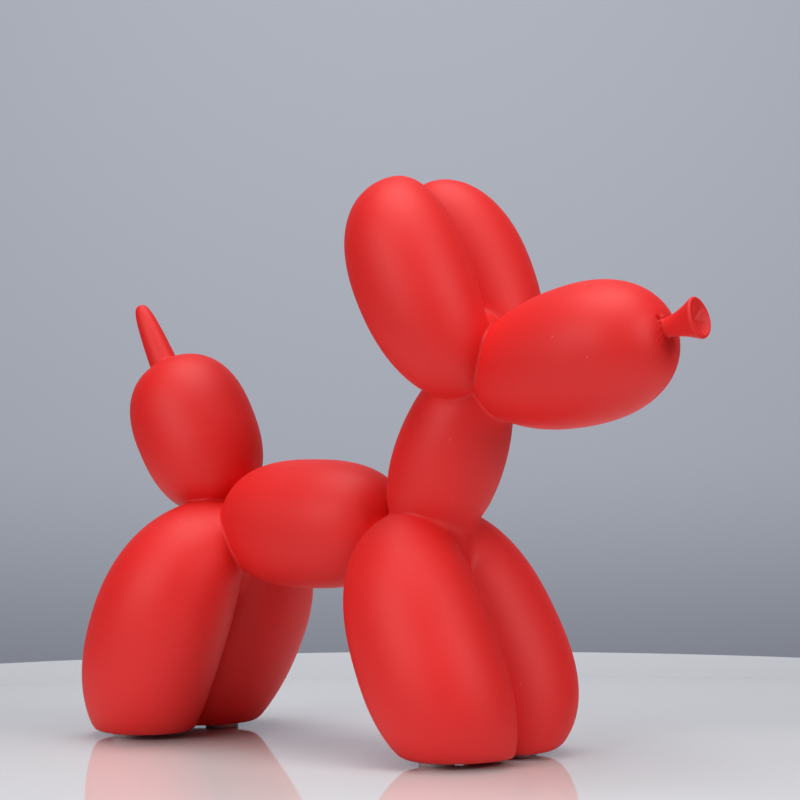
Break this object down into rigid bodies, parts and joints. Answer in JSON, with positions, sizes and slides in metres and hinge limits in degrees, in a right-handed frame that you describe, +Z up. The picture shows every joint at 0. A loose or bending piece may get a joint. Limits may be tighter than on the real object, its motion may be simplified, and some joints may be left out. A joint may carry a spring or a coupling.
{
  "type": "balloon dog ornament",
  "caption": "Matte red tabletop ornament: a poodle-style dog twisted from one long party balloon, cast as one piece on clear stick-on feet.",
  "frame": {"origin": "on the surface that the ornament stands on, under the middle of its length, in its mid-plane", "axes": "+X towards the snout, +Y to the dog's own left, +Z up"},
  "size_m": [0.2422, 0.091, 0.1915],
  "materials": {
    "painted_resin": "satin red paint on cast resin",
    "clear_pads": "clear soft rubber"
  },
  "bodies": {
    "root": {"casting": "painted_resin", "left_front_foot_pad": "clear_pads", "right_front_foot_pad": "clear_pads", "left_hind_foot_pad": "clear_pads", "right_hind_foot_pad": "clear_pads"}
  },
  "joints": []
}
